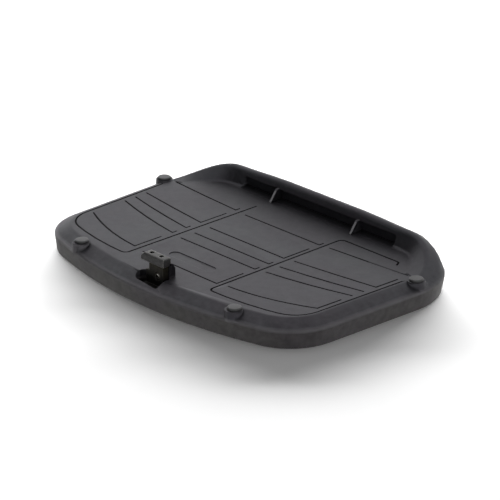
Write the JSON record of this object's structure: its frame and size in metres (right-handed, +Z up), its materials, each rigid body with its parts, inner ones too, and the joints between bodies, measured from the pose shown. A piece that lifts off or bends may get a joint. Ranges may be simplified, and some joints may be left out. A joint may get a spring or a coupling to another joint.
{
  "type": "top case mounting plate",
  "caption": "Moulded plate that carries a motorbike top case: raised front rim with tab slot, rubber buffers, engraved deck and a bolted latch catch.",
  "frame": {"origin": "middle of the plate's outer box, on the ground plane under the skirt's lower edge", "axes": "+X across the plate, +Y to the raised front rim, so the catch is at -Y, +Z up from the rack through the deck"},
  "size_m": [0.4088, 0.2777, 0.0497],
  "materials": {
    "plate_plastic": "black moulded plastic, finely textured",
    "buffer_rubber": "matt black rubber",
    "catch_metal": "dark grey-olive passivated casting, satin",
    "zinc_steel": "zinc plated",
    "insert_brass": "machined"
  },
  "bodies": {
    "root": {"base_plate": "plate_plastic", "buffer_front_left": "buffer_rubber", "buffer_front_right": "buffer_rubber", "buffer_rear_left": "buffer_rubber", "buffer_rear_right": "buffer_rubber", "catch": "catch_metal", "catch_screw": "zinc_steel", "catch_nut": "zinc_steel", "rack_insert_1": "insert_brass", "rack_insert_2": "insert_brass", "rack_insert_3": "insert_brass", "rack_insert_4": "insert_brass"}
  },
  "joints": []
}
